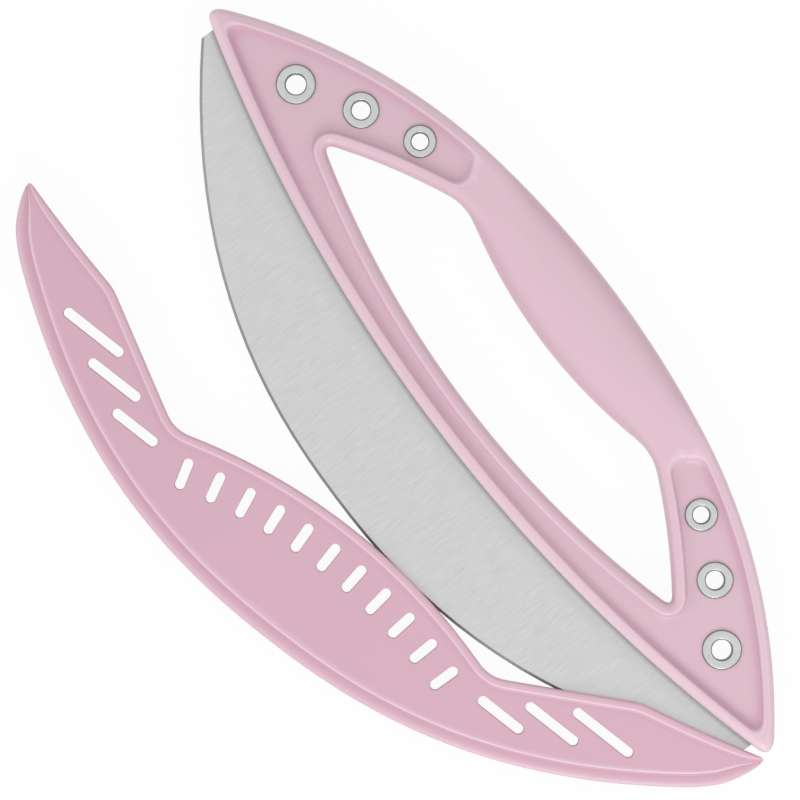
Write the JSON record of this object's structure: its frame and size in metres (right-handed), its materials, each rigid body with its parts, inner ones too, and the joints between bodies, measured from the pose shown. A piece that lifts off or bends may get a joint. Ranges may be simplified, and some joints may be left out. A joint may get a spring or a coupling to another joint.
{
  "type": "rocking pizza cutter",
  "caption": "Rocking pizza cutter: a curved steel blade riveted into a moulded loop handle with a thick grip, and a slotted plastic sheath that swings clear of the cutting edge.",
  "frame": {"origin": "on the flat back of the grip, under the middle of its length and depth", "axes": "+X along the cutter, towards the tip that the sheath swings about; +Y from the cutting edge to the grip; +Z out of the front face"},
  "size_m": [0.3605, 0.1988, 0.016],
  "materials": {
    "handle_plastic": "satin pale pink moulding",
    "sheath_plastic": "satin pink moulding",
    "blade_steel": "brushed across the blade, ground edge",
    "rivet_steel": "satin"
  },
  "bodies": {
    "cutter": {"blade": "blade_steel", "handle_front_scale": "handle_plastic", "handle_back_scale": "handle_plastic", "rivet_sleeve_left_tip": "rivet_steel", "rivet_post_left_tip": "rivet_steel", "rivet_sleeve_left_middle": "rivet_steel", "rivet_post_left_middle": "rivet_steel", "rivet_sleeve_left_grip": "rivet_steel", "rivet_post_left_grip": "rivet_steel", "rivet_sleeve_right_tip": "rivet_steel", "rivet_post_right_tip": "rivet_steel", "rivet_sleeve_right_middle": "rivet_steel", "rivet_post_right_middle": "rivet_steel", "rivet_sleeve_right_grip": "rivet_steel", "rivet_post_right_grip": "rivet_steel"},
    "sheath": {"sheath": "sheath_plastic"}
  },
  "joints": [
    {"name": "sheath_swing", "type": "hinge", "parent": "cutter", "child": "sheath", "pos_m": [0.181, -0.04598, 0.008], "axis": [0, 0, 1], "range_deg": [-14.85, 45]}
  ]
}
